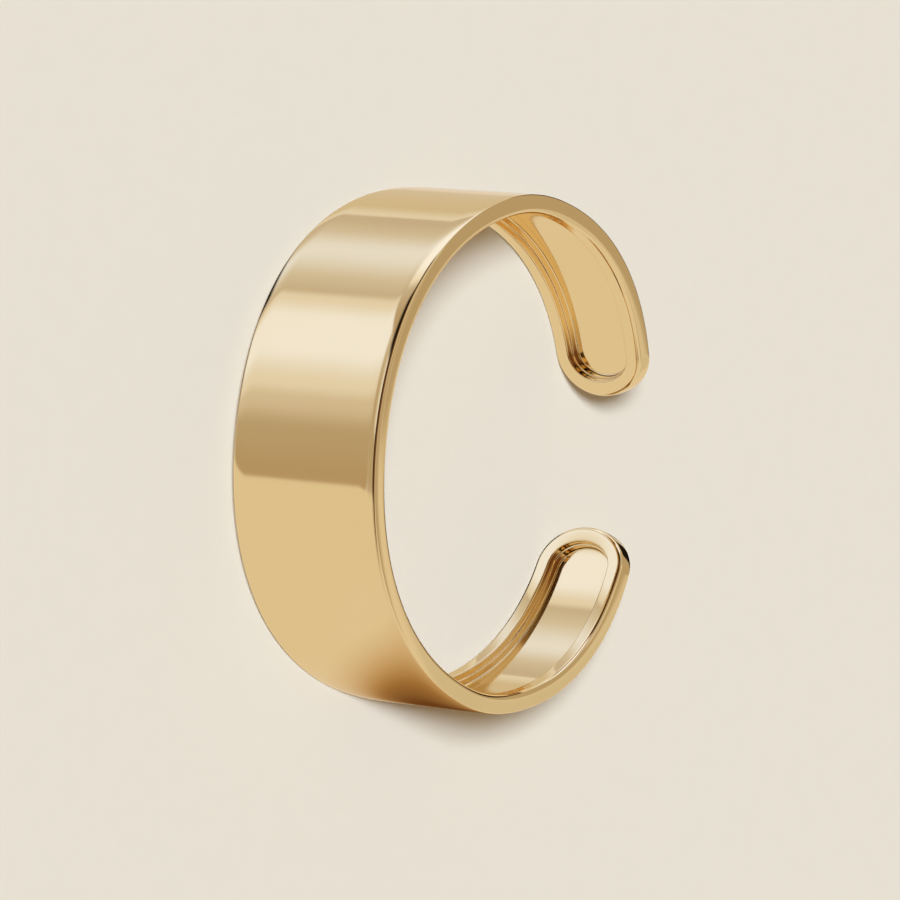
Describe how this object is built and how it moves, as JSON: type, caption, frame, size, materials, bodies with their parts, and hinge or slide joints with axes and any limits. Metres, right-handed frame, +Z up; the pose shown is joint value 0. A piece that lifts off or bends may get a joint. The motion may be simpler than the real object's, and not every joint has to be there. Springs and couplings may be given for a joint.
{
  "type": "cuff bracelet",
  "caption": "Polished gold-tone open cuff for the wrist: a wide back, arms narrowing to rounded ends, and a stepped recess along the inner face.",
  "frame": {"origin": "on the table, under the middle of the band's bounding box, with the cuff lying on its side as it rests", "axes": "+X points out of the gap between the ends, +Y runs across the wrist from one side of the oval to the other, +Z is up; the wrist goes through close to +Z, tipped 6 degrees towards +X because the narrow ends drop to the table"},
  "size_m": [0.057, 0.0612, 0.0228],
  "materials": {
    "polished_gold": "mirror polished yellow gold plating over brass"
  },
  "bodies": {
    "root": {"cuff_band": "polished_gold"}
  },
  "joints": []
}
